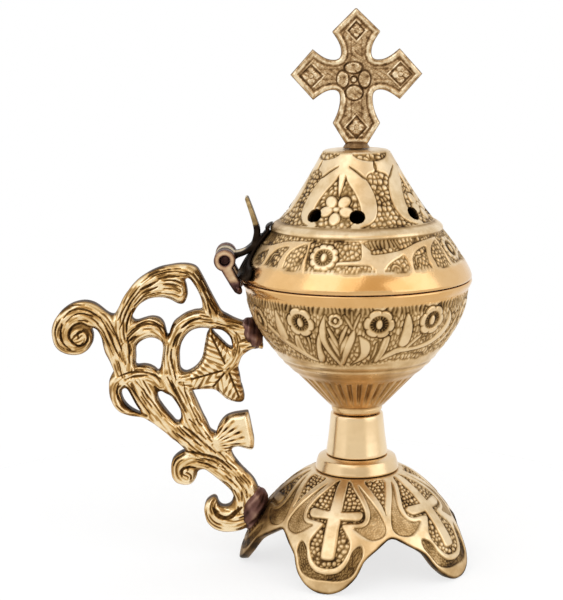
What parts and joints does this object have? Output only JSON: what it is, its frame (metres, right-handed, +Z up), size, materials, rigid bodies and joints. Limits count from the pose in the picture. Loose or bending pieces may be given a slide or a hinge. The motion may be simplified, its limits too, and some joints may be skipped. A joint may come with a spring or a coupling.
{
  "type": "hand censer",
  "caption": "Hand-held incense censer: lobed foot, turned stem, footed bowl, hinged pierced lid with a cross finial, and a cast scroll handle.",
  "frame": {"origin": "on the standing surface, under the middle of the whole object's length and width", "axes": "+Z up along the tie rod, -X towards the scroll handle, the lid's hinge pin lies along Y"},
  "size_m": [0.1318, 0.074, 0.1733],
  "materials": {
    "cast_brass": "cast and chased, brown patina in the recesses, worn bright on the raised parts",
    "polished_brass": "turned and polished",
    "aged_brass": "dark patina, rubbed on the edges",
    "handle_brass": "cast, near-black patina in the grooves",
    "steel": "plain zinc plated hardware, dulled"
  },
  "bodies": {
    "base": {"foot": "cast_brass", "collar": "polished_brass", "stem": "polished_brass", "bowl": "cast_brass", "tie_rod": "steel", "tie_rod_washer": "steel", "tie_rod_nut": "steel", "handle": "handle_brass", "hinge_bracket": "aged_brass", "hinge_pin": "steel"},
    "lid_body": {"lid": "cast_brass", "lid_hinge_leaf": "aged_brass", "cross_finial": "aged_brass", "finial_nut": "steel"}
  },
  "joints": [
    {"name": "lid_hinge", "type": "hinge", "parent": "base", "child": "lid_body", "pos_m": [-0.01113, 0, 0.098], "axis": [0, -1, 0], "range_deg": [0, 100]}
  ]
}
